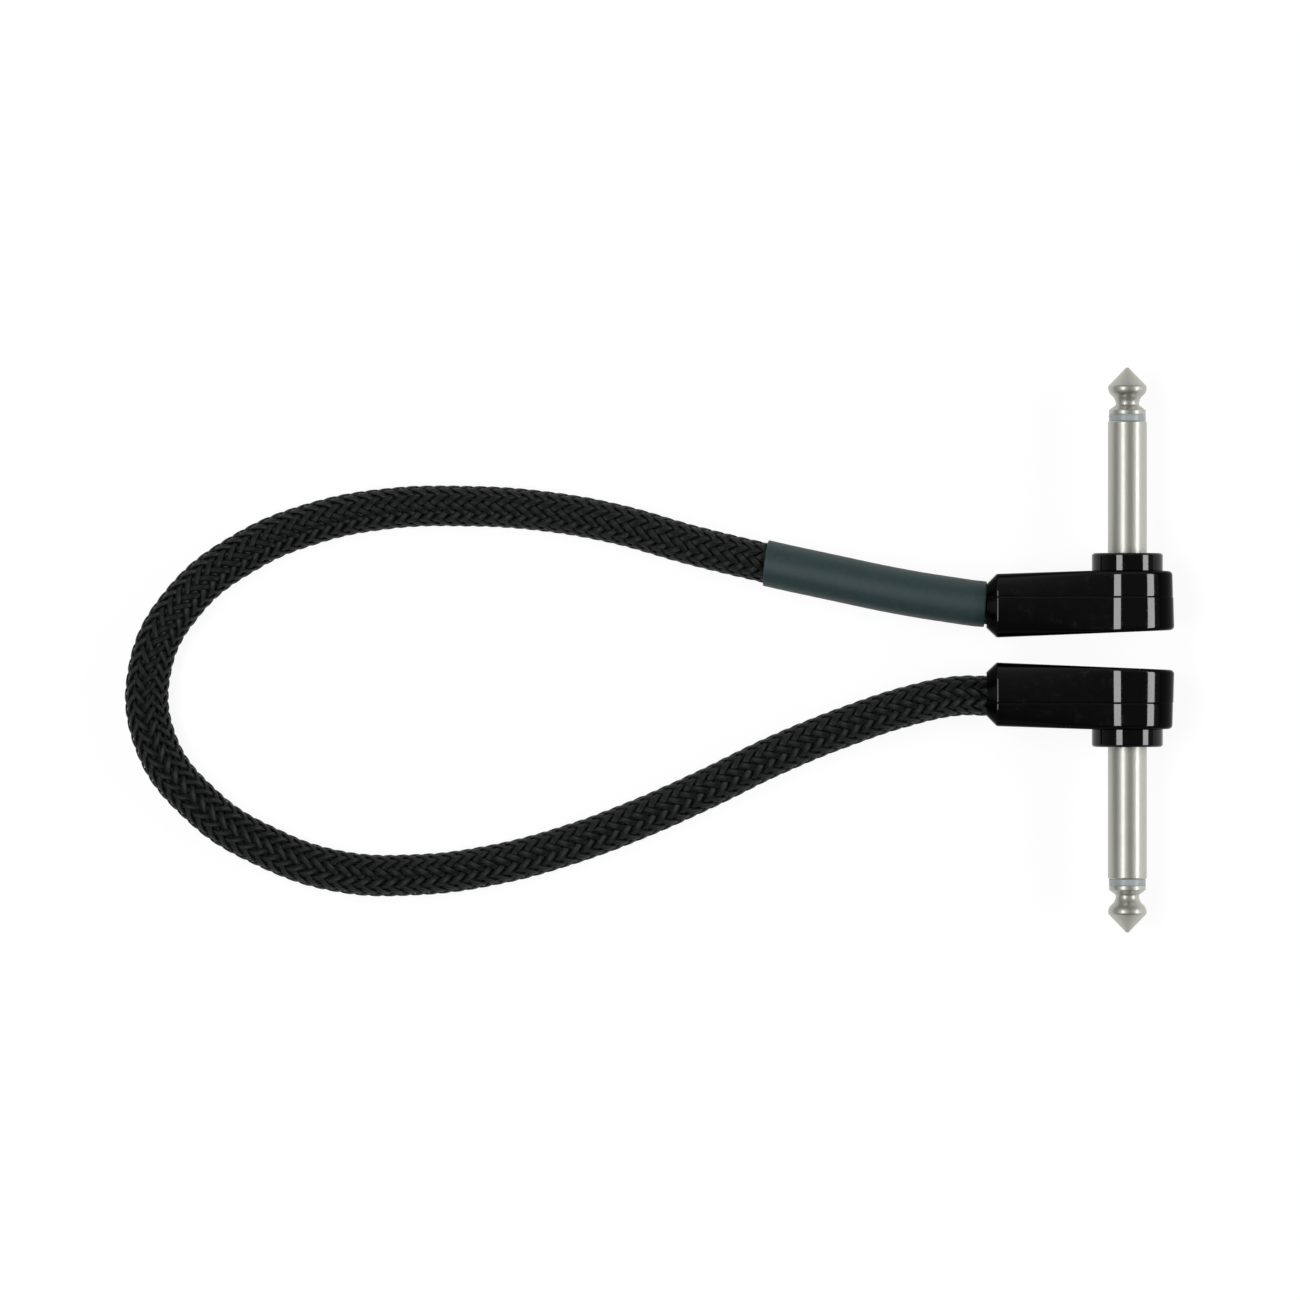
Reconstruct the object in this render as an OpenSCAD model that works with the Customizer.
// Short patch cable for an electric instrument: a braided, shielded cord with a
// right-angle mono jack plug at each end, lying on a table.
// Millimetres, +Z up. +X runs from the cord's loop to the plugs, and +Y along the
// shaft of plug a. The origin lies on the table, midway between the plugs, and plug b
// is plug a mirrored in the XZ plane.

/* [Shaft] */
// Diameter of the barrel, the standard jack size
barrel_d = 6.35; // [6.2:0.05:6.5]
// Bore of the barrel, filled by the rod's insulator
barrel_bore_d = 4.1; // [3.6:0.1:4.5]
// Chamfer on the barrel's front edge
barrel_chamfer = 0.2; // [0.1:0.05:0.3]
// Length from the collar's face to the point of the tip
shaft_l = 30.25; // [28:0.25:33]
// Thickness of the light ring between barrel and tip
ring_t = 1.05; // [0.8:0.05:2]
// Diameter of the light ring
ring_d = 6.0; // [5.8:0.05:6.2]

/* [Tip contact] */
// Length from the point to the flange's full width
tip_l = 6.95; // [6.5:0.05:8]
// Diameter of the tip's bulb
bulb_d = 6.3; // [6:0.05:6.35]
// Distance from the point to the bulb's widest place
bulb_at = 3.3; // [3.1:0.05:3.5]
// Diameter of the small flat on the point
point_d = 0.4; // [0.2:0.1:0.8]
// Radius of the bulb's front shoulder
shoulder_r = 0.6; // [0.3:0.1:0.9]
// Radius of the bulb's back
bulb_back_r = 1.7; // [1.4:0.1:1.9]
// Radius of the hollow behind the bulb, where the jack's spring catches
catch_r = 1.8; // [1.5:0.1:2]
// Diameter of the tip's flange
flange_d = 6.0; // [5.8:0.05:6.2]
// Thickness of the tip's flange
flange_t = 0.7; // [0.4:0.05:1]
// Diameter of the rod that runs back through the barrel
rod_d = 2.4; // [2:0.1:2.8]
// Diameter of the rod's riveted end
rivet_d = 3.2; // [3:0.1:3.6]
// Thickness of the rod's riveted end
rivet_t = 0.7; // [0.4:0.1:1]

/* [Collar] */
// Diameter of the collar around the barrel's foot
collar_d = 11.6; // [10:0.1:12.5]
// Height of the collar
collar_t = 2.9; // [2:0.1:4]
// Chamfer on the collar's front edge
collar_chamfer = 0.3; // [0.1:0.05:0.5]
// Diameter of the barrel's seat inside the collar
seat_d = 7; // [6.7:0.1:8]

/* [Housing] */
// Distance between the two plugs' arms, middle to middle
plug_spacing = 15.5; // [14:0.25:30]
// Width of the arm, from its front to its back
arm_d = 10.3; // [9.8:0.1:10.6]
// Height of the arm at its nose
arm_h = 11; // [10.6:0.1:12]
// Roundness of the arm's section: 1 is round, and less is squarer
arm_roundness = 0.33; // [0.3:0.01:1]
// Length from the barrel's axis to the arm's mouth
arm_reach = 23; // [22.9:0.1:25]
// Radius of the drum at its front face
drum_front_r = 7.4; // [7:0.05:8]
// Radius of the drum at its back face, before its rim is rounded
drum_back_r = 7.65; // [7:0.05:8.5]
// Length of the arm's level stretch behind its nose
arm_flat = 1; // [0.5:0.1:2]
// Radius at the foot of the ramp that rises from arm to drum
foot_r = 8; // [4:0.5:12]
// Radius of the hollow blend between ramp and drum
blend_r = 3; // [2:0.5:8]
// Turn from the ramp into the drum, in degrees
blend_turn = 13; // [8:1:16]
// Radius of the drum's rounded rims
rim_r = 0.7; // [0.4:0.1:1]
// Length of the arm's tapered nose
nose_l = 1.8; // [1.5:0.1:3]
// Diameter of the nose at its mouth
mouth_d = 7; // [6.9:0.1:8]
// Fall of the arm's front towards the nose, in degrees
front_fall = 1.9; // [0:0.1:2.2]
// Slope of the back face, in degrees
back_slope = 2.4; // [0:0.1:3]
// Depth of the parting line behind the front face
parting_depth = 4.25; // [3.6:0.05:5]
// Height of the step in the skin at the parting line
parting_step = 0.06; // [0.02:0.02:0.1]
// Thickness of the front wall
front_wall = 1.2; // [1:0.1:1.6]
// Thickness of the back wall at the drum's middle
back_wall = 1.5; // [1:0.1:2]
// Radius of the room inside the drum
drum_room_r = 5.6; // [5:0.1:5.8]
// Radius of the room inside the arm
arm_room_r = 3.6; // [3.5:0.05:3.65]
// Height of the back shell's locating lip
lip_h = 0.6; // [0.3:0.1:0.8]
// Thickness of the locating lip
lip_t = 0.5; // [0.3:0.1:0.6]
// Length of the nose bore that grips the braid
grip_l = 5; // [3:0.5:6]

/* [Contacts] */
// Diameter of the barrel's flange inside the housing
foot_d = 9.4; // [8.6:0.1:10]
// Thickness of the barrel's flange
foot_t = 1.2; // [1:0.1:1.4]
// Diameter of the barrel's staked spigot
spigot_d = 5.2; // [4.8:0.1:5.6]
// Thickness of the contacts' sheet
sheet_t = 0.5; // [0.4:0.05:0.5]
// Diameter of the ground terminal's disc
ground_disc_d = 8.4; // [7.4:0.1:9]
// Width of the terminals' straps
strap_w = 2; // [1.6:0.1:2]
// Diameter of the washer between the terminals
washer_d = 7; // [6:0.1:8]
// Thickness of the washer between the terminals
washer_t = 1.45; // [1.3:0.05:1.6]
// Diameter of the tip terminal's disc
lug_d = 4.2; // [3.8:0.1:5]
// Reach of the tip terminal's strap from the barrel's axis
lug_reach = 4.8; // [4.4:0.1:5.2]
// Width of the crimped claw
claw_w = 2.5; // [1.5:0.1:3]
// Gap between the claw's two ends
claw_gap = 1.5; // [1:0.1:2.5]

/* [Cord] */
// Diameter over the braid
cord_d = 6.6; // [6:0.1:6.7]
// Wall of the braided sleeve
braid_t = 0.4; // [0.3:0.05:0.5]
// Wall of the jacket
jacket_t = 0.7; // [0.5:0.05:0.8]
// Wall of the copper shield
shield_t = 0.25; // [0.15:0.05:0.35]
// Wall of the noise screen
screen_t = 0.25; // [0.15:0.05:0.35]
// Diameter of the inner conductor
conductor_d = 1; // [0.6:0.1:1.2]
// Wall of the label sleeve, shrunk on over the braid
label_t = 0.4; // [0.3:0.05:0.6]

/* [Stripped ends] */
// Distance from the barrel's axis to the jacket's end
jacket_end = 12.5; // [12:0.1:13]
// Distance from the barrel's axis to the shield's end
shield_end = 9.3; // [8.8:0.1:9.6]
// Distance from the barrel's axis to the noise screen's end
screen_end = 8.5; // [8:0.1:8.7]
// Distance from the barrel's axis to the insulation's end
insulation_end = 5.5; // [5.3:0.1:6]
// Distance from the barrel's axis to the conductor's end
conductor_end = 3.3; // [3.1:0.1:3.5]
// Radius of the bead of solder on the tip terminal
bead_r = 1.1; // [0.9:0.05:1.2]
// Height of the bead under the tip terminal
bead_h = 1.8; // [1.4:0.1:2]
// Film of solder between the conductor and the tip terminal
film_t = 0.1; // [0.05:0.05:0.2]
// Radius of the pad of solder on the shield
pad_r = 1.2; // [0.8:0.05:1.2]

/* [Hidden] */
$fn = 64;
arm_r = arm_d / 2;
cord_r = cord_d / 2;
braid_in_r = cord_r - braid_t;
jacket_in_r = braid_in_r - jacket_t;
shield_in_r = jacket_in_r - shield_t;
screen_in_r = shield_in_r - screen_t;
conductor_r = conductor_d / 2;

// Places along X: the drum's far side and the mouth stand equally far from the origin
drum_r = max(drum_front_r, drum_back_r);
axis_x = (arm_reach - drum_r) / 2;
mouth_x = axis_x - arm_reach;
grip_x = mouth_x + grip_l;
// Height of both plugs' axes over the table
axis_z = drum_r;

// Places along Y, from the plug's back to its point
middle_y = plug_spacing / 2;
face_y = middle_y + arm_r;
back_y = middle_y - arm_r;
parting_y = face_y - parting_depth;
collar_y = face_y + collar_t;
tip_y = collar_y + shaft_l;
flange_y = tip_y - tip_l - flange_t;
barrel_end_y = flange_y - ring_t;
foot_front_y = face_y - front_wall;
foot_back_y = foot_front_y - foot_t;
ground_y = foot_back_y - sheet_t;
washer_y = ground_y - washer_t;
lug_y = washer_y - sheet_t;
room_y = back_y + back_wall + axis_x * tan(back_slope);
// The conductor is soldered to the back of the tip terminal
cable_y = lug_y - film_t - conductor_r;

// The skin's levels: angles round the arm, from its front to its back
first_level = 8;
levels = [first_level, 16, 24, 32, 45, 60, 75, 90, 105, 120, 135, 148, 156, 164,
          180 - first_level];
foot_steps = 3;
blend_steps = 4;
drum_steps = 16;
// The drum's arc stops this many degrees short of its side, and a flat closes it
drum_stop = 3;
neck_x = axis_x - 6.4;
neck_l = arm_reach - nose_l - arm_flat;
ramp_tries = 30;

// The cord's free points: X, Y and the lift of its underside over the table
free_points = [
    [-21.2, 8.2, 4.2], [-29.7, 9.6, 3.7], [-40.7, 11.9, 2.8], [-51.2, 14.2, 1.8],
    [-63.2, 17.1, 0.8], [-75.7, 20.6, 0.2], [-87.7, 22.7, 0], [-100.2, 23.5, 0],
    [-112.7, 23.1, 0], [-124.7, 20.8, 0], [-136.2, 16, 0], [-146.2, 8, 0],
    [-151.7, -2.5, 0], [-150.9, -15, 0], [-143.2, -25.5, 0], [-132.7, -32.2, 0],
    [-120.7, -36.2, 0], [-108.2, -36.7, 0], [-96.2, -35.2, 0], [-84.2, -32.1, 0],
    [-72.2, -27.7, 0.2], [-61.2, -22.8, 0.8], [-49.7, -17.2, 1.8], [-38.2, -12.5, 2.8],
    [-27.2, -8.9, 3.8], [-20.2, -7.5, 4.2]
];
cord_sides = 8;
// The label sleeve covers the first free points
label_points = 4;
route = concat([[mouth_x, cable_y, axis_z]],
               [for (p = free_points) [p.x, p.y, p.z + cord_r]],
               [[mouth_x, -cable_y, axis_z]]);

nickel = [0.76, 0.75, 0.70];
copper = [0.78, 0.48, 0.32];
tin = [0.70, 0.71, 0.73];
solder_grey = [0.62, 0.63, 0.65];
gloss_black = [0.06, 0.06, 0.07];
braid_black = [0.09, 0.09, 0.10];
jacket_black = [0.14, 0.14, 0.15];
screen_black = [0.20, 0.20, 0.21];
ring_grey = [0.78, 0.82, 0.84];
natural_white = [0.90, 0.89, 0.84];
label_slate = [0.24, 0.28, 0.29];

// ---------- placing ----------

// Stands children, drawn along Z, on the barrel's axis at height y
module on_axis(y) {
    translate([axis_x, y, axis_z]) rotate([-90, 0, 0]) children();
}

// Lays children, drawn along Z, on the cable's axis from x towards +X
module on_cable(x) {
    translate([x, cable_y, axis_z]) rotate([0, 90, 0]) children();
}

// A disc on the barrel's axis between two heights
module disc(d, y_low, y_high) {
    on_axis(y_low) cylinder(d = d, h = y_high - y_low);
}

// A rod on the cable's axis between two places
module rod(r, x_low, x_high) {
    on_cable(x_low) cylinder(r = r, h = x_high - x_low);
}

// A strap of the terminals' width, between two X and two Y
module strap(x_low, x_high, y_low, y_high) {
    translate([x_low, y_low, axis_z - strap_w / 2])
        cube([x_high - x_low, y_high - y_low, strap_w]);
}

// Plug b's place: plug a mirrored
module mirrored() {
    mirror([0, 1, 0]) children();
}

// ---------- shaft ----------

function arc(centre, r, from, to, steps) =
    [for (i = [0:steps]) let (a = from + (to - from) * i / steps)
        centre + r * [cos(a), sin(a)]];

// Half outline of the tip, as radius and distance back from the point
function tip_outline() =
    let (leave = 50,
         bulb_r = bulb_d / 2,
         back_c = [bulb_r - bulb_back_r, bulb_at],
         leave_p = back_c + bulb_back_r * [cos(leave), sin(leave)],
         catch_c = leave_p + catch_r * [cos(leave), sin(leave)])
    concat([[0, 0], [point_d / 2, 0]],
           arc([bulb_r - shoulder_r, bulb_at], shoulder_r, -45, 0, 5),
           arc(back_c, bulb_back_r, 10, leave, 5),
           arc(catch_c, catch_r, 180 + leave - 8, 180 - 4, 6),
           [[flange_d / 2, tip_l], [flange_d / 2, tip_l + flange_t],
            [0, tip_l + flange_t]]);

module tip_contact() {
    color(nickel) {
        on_axis(tip_y) mirror([0, 0, 1]) rotate_extrude() polygon(tip_outline());
        disc(rod_d, lug_y, flange_y);
        disc(rivet_d, lug_y - rivet_t, lug_y);
    }
}

module insulating_ring() {
    color(ring_grey) difference() {
        disc(ring_d, barrel_end_y, flange_y);
        disc(rod_d, barrel_end_y - 1, flange_y + 1);
    }
}

module rod_insulator() {
    color(natural_white) difference() {
        disc(barrel_bore_d, ground_y, barrel_end_y);
        disc(rod_d, ground_y - 1, barrel_end_y + 1);
    }
}

module barrel_outside() {
    disc(barrel_d, ground_y, barrel_end_y - barrel_chamfer);
    on_axis(barrel_end_y - barrel_chamfer)
        cylinder(d1 = barrel_d, d2 = barrel_d - 2 * barrel_chamfer,
                 h = barrel_chamfer);
    disc(seat_d, foot_front_y, collar_y);
    disc(foot_d, foot_back_y, foot_front_y);
}

module barrel() {
    color(nickel) difference() {
        union() {
            intersection() {
                barrel_outside();
                disc(2 * foot_d, foot_back_y, barrel_end_y);
            }
            disc(spigot_d, ground_y, foot_back_y);
        }
        disc(barrel_bore_d, ground_y - 1, barrel_end_y + 1);
    }
}

// ---------- contacts ----------

// The ground terminal: a disc staked to the barrel, a strap that steps over the
// jacket, and a claw crimped round it
module ground_terminal() {
    step_x = axis_x - jacket_end;
    over_y = cable_y + braid_in_r + film_t;
    claw_x = step_x - claw_w - 1.5;
    color(tin) difference() {
        union() {
            disc(ground_disc_d, ground_y, foot_back_y);
            strap(step_x, axis_x, ground_y, foot_back_y);
            strap(step_x, step_x + sheet_t, ground_y, over_y + sheet_t);
            strap(claw_x, step_x + sheet_t, over_y, over_y + sheet_t);
            claw(claw_x);
        }
        disc(spigot_d, ground_y - 1, foot_back_y + 1);
    }
}

module claw(x) {
    difference() {
        rod(braid_in_r + sheet_t, x, x + claw_w);
        rod(braid_in_r, x - 1, x + claw_w + 1);
        translate([x - 1, cable_y - 2 * arm_r, axis_z - claw_gap / 2])
            cube([claw_w + 2, 2 * arm_r, claw_gap]);
    }
}

module terminal_washer() {
    color(natural_white) difference() {
        disc(washer_d, washer_y, ground_y);
        disc(rod_d, washer_y - 1, ground_y + 1);
    }
}

// The tip terminal: a disc riveted to the rod, and a strap to the conductor
module tip_terminal() {
    color(tin) difference() {
        union() {
            disc(lug_d, lug_y, washer_y);
            strap(axis_x - lug_reach, axis_x, lug_y, washer_y);
        }
        disc(rod_d, lug_y - 1, washer_y + 1);
    }
}

// Solder round the conductor's end, under the tip terminal's strap
module bead() {
    translate([axis_x - conductor_end - bead_r / 2, lug_y, axis_z])
        rotate([90, 0, 0]) cylinder(r1 = bead_r, r2 = bead_r / 2, h = bead_h);
}

module tip_solder() {
    color(solder_grey) difference() {
        bead();
        rod(conductor_r, mouth_x, axis_x - conductor_end);
    }
}

// Solder between the shield and the ground terminal's strap
module pad() {
    translate([axis_x - (jacket_end + shield_end) / 2, cable_y, axis_z])
        rotate([-90, 0, 0]) cylinder(r = pad_r, h = ground_y - cable_y);
}

module ground_solder() {
    color(solder_grey) difference() {
        pad();
        rod(jacket_in_r, mouth_x, axis_x);
    }
}

// ---------- housing ----------

function front_at(x) = face_y - max(0, neck_x - x) * tan(front_fall);
function back_at(x) = back_y + x * tan(back_slope);
function middle_at(x) = (front_at(x) + back_at(x)) / 2;
function half_at(x) = (front_at(x) - back_at(x)) / 2;

// How far the rounded rim falls, at depth d under a face
function rim_fall(d) = d >= rim_r ? 0 : rim_r - sqrt(rim_r ^ 2 - (rim_r - d) ^ 2);

// The drum's radius at one level of the skin
function drum_at(level, shrink) =
    let (half = half_at(axis_x), c = cos(level) / cos(first_level))
    drum_front_r + (drum_back_r - drum_front_r) * (1 - c) / 2
        - rim_fall(half * (1 - abs(c))) - shrink;

// A point of the skin from its X, its height over the axis plane and its level
function skin_point(x, h, level, size = 1) =
    [x, middle_at(x) + size * half_at(x) * cos(level) / cos(first_level), h];

// Length of a ramp's straight stretch, and its whole rise into a drum of radius r
function ramp_run(slope, r) =
    neck_l - r * sin(slope + blend_turn) - foot_r * sin(slope)
        - blend_r * (sin(slope + blend_turn) - sin(slope));
function ramp_rise(slope, r) =
    r * (1 - cos(slope + blend_turn)) + foot_r * (1 - cos(slope))
        + blend_r * (cos(slope) - cos(slope + blend_turn)) + ramp_run(slope, r) * tan(slope);

// The ramp's slope for a given rise, found by halving
function ramp_slope(rise, r, low = 0, high = 90 - blend_turn, tries = ramp_tries) =
    let (slope = (low + high) / 2)
    tries == 0 ? slope
        : ramp_rise(slope, r) < rise ? ramp_slope(rise, r, slope, high, tries - 1)
        : ramp_slope(rise, r, low, slope, tries - 1);

// The skin's run along one level: nose, arm, ramp, hollow blend and drum
function skin_run(level, shrink) =
    let (h = (arm_h / 2 - shrink) * sin(level) ^ arm_roundness,
         r = drum_at(level, shrink),
         slope = ramp_slope(r - h, r),
         sweep = slope + blend_turn,
         foot_x = axis_x - neck_l,
         top_x = axis_x - r * sin(sweep),
         top_h = r * cos(sweep),
         side = 90 - drum_stop)
    concat(
        [for (t = [0:1]) let (size = (mouth_d + (arm_d - mouth_d) * t) / arm_d)
            skin_point(mouth_x + nose_l * t, h * size, level, size)],
        [for (i = [0:foot_steps]) let (a = slope * i / foot_steps)
            skin_point(foot_x + foot_r * sin(a), h + foot_r * (1 - cos(a)), level)],
        [for (i = [0:blend_steps]) let (a = slope + blend_turn * i / blend_steps)
            skin_point(top_x - blend_r * (sin(sweep) - sin(a)),
                       top_h - blend_r * (cos(a) - cos(sweep)), level)],
        [for (i = [1:drum_steps])
            let (a = -sweep + (side + sweep) * i / drum_steps)
            skin_point(axis_x + r * sin(a), r * cos(a), level)]);

// The housing's outer skin as one closed solid, drawn in by shrink
module skin(shrink = 0) {
    runs = [for (level = levels) skin_run(level, shrink)];
    n = len(levels);
    m = len(runs[0]);
    ring = 2 * n;
    points = [for (i = [0:m - 1]) each concat(
        [for (k = [0:n - 1]) [runs[k][i].x, runs[k][i].y, axis_z + runs[k][i].z]],
        [for (k = [n - 1:-1:0]) [runs[k][i].x, runs[k][i].y, axis_z - runs[k][i].z]])];
    last = ring * (m - 1);
    sides = [for (i = [0:m - 2]) for (k = [0:ring - 1])
        let (a = i * ring + k, b = i * ring + (k + 1) % ring)
        each [[a, a + ring, b + ring], [a, b + ring, b]]];
    mouth = [for (k = [0:n - 2])
        each [[k, k + 1, ring - 2 - k], [k, ring - 2 - k, ring - 1 - k]]];
    far_end = [for (f = mouth) [last + f[2], last + f[1], last + f[0]]];
    polyhedron(points, concat(sides, mouth, far_end), convexity = 6);
}

// Everything on one side of a plane across Y
module slab(y_low, y_high) {
    reach = 2 * arm_reach;
    translate([-reach, y_low, axis_z - reach])
        cube([2 * reach, y_high - y_low, 2 * reach]);
}

// The room inside the housing, grown by a margin
module room(grow = 0) {
    disc(2 * (drum_room_r + grow), room_y - grow, foot_front_y);
    rod(arm_room_r + grow, grip_x, axis_x);
}

// The lip that locates the back shell in the front shell
module lip() {
    intersection() {
        room(lip_t);
        slab(parting_y, parting_y + lip_h);
    }
}

module front_shell() {
    color(gloss_black) difference() {
        intersection() {
            skin(parting_step);
            slab(parting_y, face_y + 1);
        }
        room();
        lip();
        rod(cord_r, mouth_x - 1, grip_x + 1);
        disc(seat_d, foot_front_y - 1, face_y + 1);
    }
}

module back_shell() {
    color(gloss_black) difference() {
        union() {
            intersection() {
                skin();
                slab(0, parting_y);
            }
            lip();
        }
        room();
        rod(cord_r, mouth_x - 1, grip_x + 1);
    }
}

module collar() {
    color(gloss_black) difference() {
        union() {
            disc(collar_d, face_y, collar_y - collar_chamfer);
            on_axis(collar_y - collar_chamfer)
                cylinder(d1 = collar_d, d2 = collar_d - 2 * collar_chamfer,
                         h = collar_chamfer);
        }
        disc(seat_d, face_y - 1, collar_y + 1);
    }
}

// The moulding that fills the room round the contacts and the cord's end
module inner_mould() {
    color(natural_white) difference() {
        room();
        rod(braid_in_r, grip_x - 1, axis_x - jacket_end);
        rod(jacket_in_r, grip_x - 1, axis_x - shield_end);
        rod(shield_in_r, grip_x - 1, axis_x - screen_end);
        rod(screen_in_r, grip_x - 1, axis_x - insulation_end);
        rod(conductor_r, grip_x - 1, axis_x - conductor_end);
        disc(foot_d, foot_back_y, foot_front_y + 1);
        disc(spigot_d, ground_y, foot_front_y);
        disc(washer_d, washer_y, ground_y);
        disc(rivet_d, lug_y - rivet_t, washer_y);
        ground_terminal();
        tip_terminal();
        bead();
        pad();
    }
}

// ---------- cord ----------

function unit(v) = v / norm(v);

// Direction of the route at point i: straight out of and into the mouths
function heading(i) =
    i == 0 ? [-1, 0, 0] :
    i == len(route) - 1 ? [1, 0, 0] :
    unit(route[i + 1] - route[i - 1]);

// A ring of the cord's sides about a point, square to a direction
function ring_of(centre, dir, r) =
    let (side = unit(cross(dir, [0, 0, 1])), up = cross(side, dir))
    [for (j = [0:cord_sides - 1]) let (a = 360 * j / cord_sides)
        centre + r * (cos(a) * side + sin(a) * up)];

// Rings along the whole cord, with its ends at end_x inside both housings
function cord_rings(end_x, r) = concat(
    [ring_of([end_x, cable_y, axis_z], [-1, 0, 0], r)],
    [for (i = [0:len(route) - 1]) ring_of(route[i], heading(i), r)],
    [ring_of([end_x, -cable_y, axis_z], [1, 0, 0], r)]);

// Rings along part of the cord, from one route point to another
function part_rings(from, to, r) =
    [for (i = [from:to]) ring_of(route[i], heading(i), r)];

function tube_sides(count, offset) =
    let (s = cord_sides)
    [for (i = [0:count - 2]) for (j = [0:s - 1])
        let (a = offset + i * s + j, b = offset + i * s + (j + 1) % s)
        each [[a, b, b + s], [a, b + s, a + s]]];

function turned(faces) = [for (f = faces) [f[2], f[1], f[0]]];

// A hollow tube through two lists of rings, its outside and its inside
module tube(outer, inner) {
    s = cord_sides;
    n = len(outer);
    inside = n * s;
    start = [for (j = [0:s - 1]) let (b = (j + 1) % s)
        each [[j, inside + j, inside + b], [j, inside + b, b]]];
    last = (n - 1) * s;
    end = [for (f = turned(start)) [for (v = f) v + last]];
    polyhedron([for (r = concat(outer, inner)) each r],
               concat(tube_sides(n, 0), turned(tube_sides(n, inside)), start, end),
               convexity = 10);
}

// A solid rod through a list of rings
module wire(rings) {
    s = cord_sides;
    n = len(rings);
    start = [for (j = [1:s - 2]) [0, j + 1, j]];
    last = (n - 1) * s;
    end = [for (f = turned(start)) [for (v = f) v + last]];
    polyhedron([for (r = rings) each r], concat(tube_sides(n, 0), start, end),
               convexity = 10);
}

// One layer of the cord
module layer(end_x, r_out, r_in) {
    tube(cord_rings(end_x, r_out), cord_rings(end_x, r_in));
}

module inner_conductor() {
    color(copper) wire(cord_rings(axis_x - conductor_end, conductor_r));
}

module conductor_insulation() {
    color(natural_white) layer(axis_x - insulation_end, screen_in_r, conductor_r);
}

module noise_screen() {
    color(screen_black) layer(axis_x - screen_end, shield_in_r, screen_in_r);
}

module copper_shield() {
    color(copper) layer(axis_x - shield_end, jacket_in_r, shield_in_r);
}

module cord_jacket() {
    color(jacket_black) layer(axis_x - jacket_end, braid_in_r, jacket_in_r);
}

module braided_sleeve() {
    color(braid_black) layer(grip_x, cord_r, braid_in_r);
}

module label_sleeve() {
    color(label_slate) tube(part_rings(0, label_points, cord_r + label_t),
                            part_rings(0, label_points, cord_r));
}

tip_contact();  // tip_contact_a
mirrored() tip_contact();  // tip_contact_b
insulating_ring();  // insulating_ring_a
mirrored() insulating_ring();  // insulating_ring_b
rod_insulator();  // rod_insulator_a
mirrored() rod_insulator();  // rod_insulator_b
barrel();  // barrel_a
mirrored() barrel();  // barrel_b
ground_terminal();  // ground_terminal_a
mirrored() ground_terminal();  // ground_terminal_b
terminal_washer();  // terminal_washer_a
mirrored() terminal_washer();  // terminal_washer_b
tip_terminal();  // tip_terminal_a
mirrored() tip_terminal();  // tip_terminal_b
tip_solder();  // tip_solder_a
mirrored() tip_solder();  // tip_solder_b
ground_solder();  // ground_solder_a
mirrored() ground_solder();  // ground_solder_b
inner_mould();  // inner_mould_a
mirrored() inner_mould();  // inner_mould_b
front_shell();  // front_shell_a
mirrored() front_shell();  // front_shell_b
back_shell();  // back_shell_a
mirrored() back_shell();  // back_shell_b
collar();  // collar_a
mirrored() collar();  // collar_b
inner_conductor();
conductor_insulation();
noise_screen();
copper_shield();
cord_jacket();
braided_sleeve();
label_sleeve();
